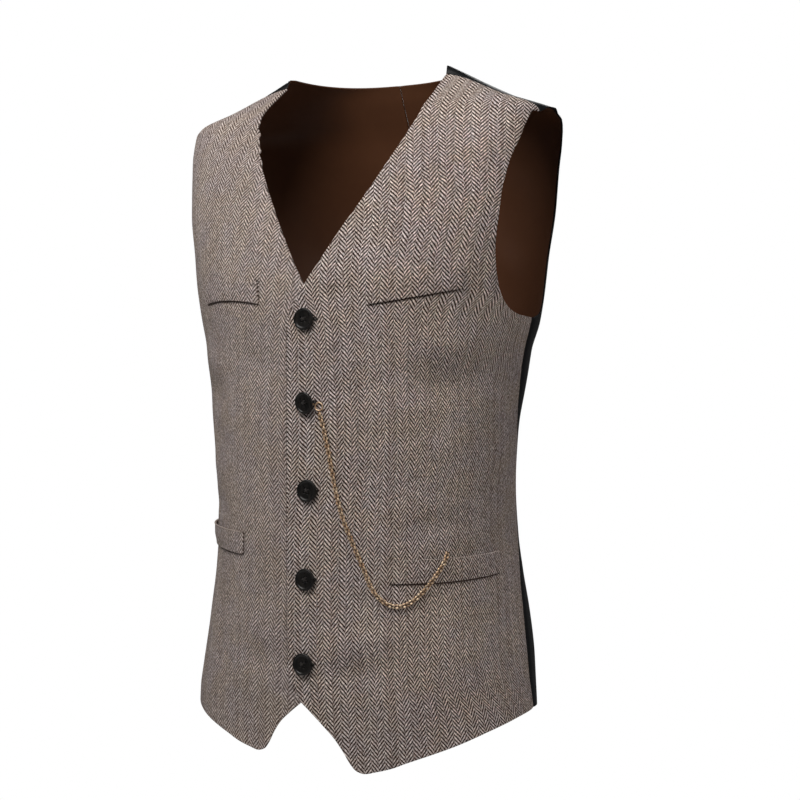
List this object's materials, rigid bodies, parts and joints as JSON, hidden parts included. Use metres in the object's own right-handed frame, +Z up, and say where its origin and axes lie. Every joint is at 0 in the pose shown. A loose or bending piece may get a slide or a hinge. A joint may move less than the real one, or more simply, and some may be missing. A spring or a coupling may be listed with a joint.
{
  "type": "suit waistcoat",
  "caption": "Man's herringbone tweed waistcoat in its worn form: V neck, buttoned front with cutaway points, welt pockets, satin back and a watch chain.",
  "frame": {"origin": "between the shoulders, on the centre line at the height of the front ends of the shoulder seams' neck points", "axes": "+Z up the wearer, -Y out of the buttoned front, +X to the wearer's left"},
  "size_m": [0.377, 0.2438, 0.6502],
  "materials": {
    "tweed": "brown and cream herringbone wool tweed, matt, slightly hairy",
    "back_satin": "black lining satin, soft sheen",
    "button_horn": "black horn-like resin, semi-gloss",
    "chain_gilt": "pale gilt fine chain"
  },
  "bodies": {
    "root": {"front_left": "tweed", "front_right": "tweed", "back_left": "back_satin", "back_right": "back_satin", "chest_welt_left": "tweed", "chest_welt_right": "tweed", "hip_welt_left": "tweed", "hip_welt_right": "tweed", "button_1": "button_horn", "button_2": "button_horn", "button_3": "button_horn", "button_4": "button_horn", "button_5": "button_horn", "watch_chain": "chain_gilt", "chain_ring": "chain_gilt", "chain_bar": "chain_gilt"}
  },
  "joints": []
}
